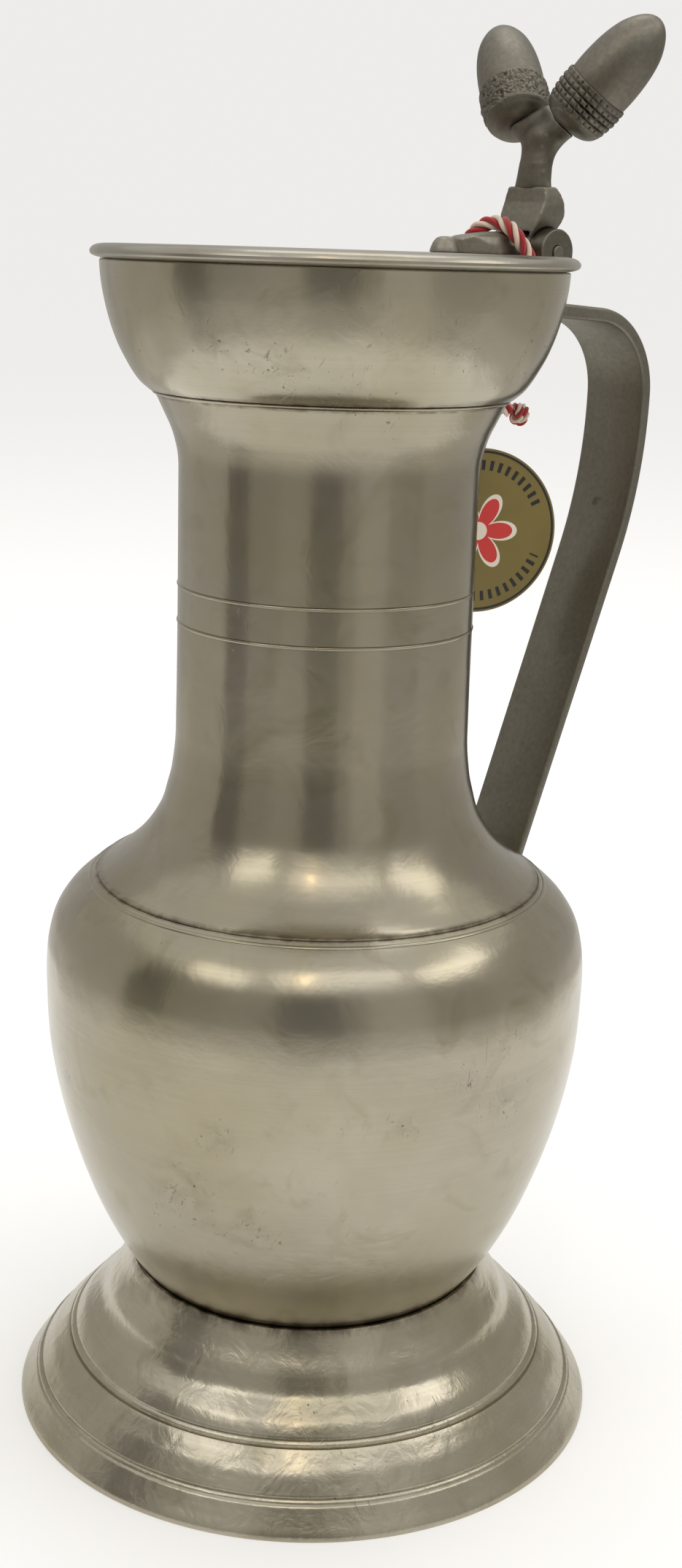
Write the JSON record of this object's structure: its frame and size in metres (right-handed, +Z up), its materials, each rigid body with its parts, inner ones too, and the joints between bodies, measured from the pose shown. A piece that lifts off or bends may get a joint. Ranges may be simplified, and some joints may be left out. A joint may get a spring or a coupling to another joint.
{
  "type": "flagon",
  "caption": "Footed pewter flagon with a flared cup, a strap handle, a hinged flat lid and an acorn thumbpiece; a round tag hangs on a striped cord",
  "frame": {"origin": "On the flagon's axis, in the plane of its foot", "axes": "+Z up along the axis; +X towards the handle and the lid's hinge; +Y along the hinge pin"},
  "size_m": [0.1565, 0.1296, 0.3024],
  "materials": {
    "pewter": "satin",
    "cast_pewter": "satin",
    "cord": "matte",
    "card": "matte"
  },
  "bodies": {
    "jug": {"foot": "pewter", "base_disc": "pewter", "belly": "pewter", "neck": "pewter", "cup": "pewter", "handle": "cast_pewter", "hinge_bracket": "cast_pewter", "hinge_pin": "cast_pewter", "tag_cord_drop": "cord", "tag_cord_knot": "cord", "tag_cord_low": "cord", "tag_cord_tail": "cord", "tag_cord_end": "cord", "tag_cord_tie": "cord", "tag_disc": "card"},
    "lid": {"lid_plate": "pewter", "lid_ring": "pewter", "lid_tongue": "cast_pewter", "thumb_block": "cast_pewter", "thumb_stem": "cast_pewter", "acorn_cap_left": "cast_pewter", "acorn_cap_right": "cast_pewter", "acorn_nut_left": "cast_pewter", "acorn_nut_right": "cast_pewter", "tag_cord_loop": "cord", "tag_cord_hitch": "cord"}
  },
  "joints": [
    {"name": "lid_hinge", "type": "hinge", "parent": "jug", "child": "lid", "pos_m": [0.0572, 0, 0.2536], "axis": [0, 1, 0], "range_deg": [0, 95]}
  ]
}
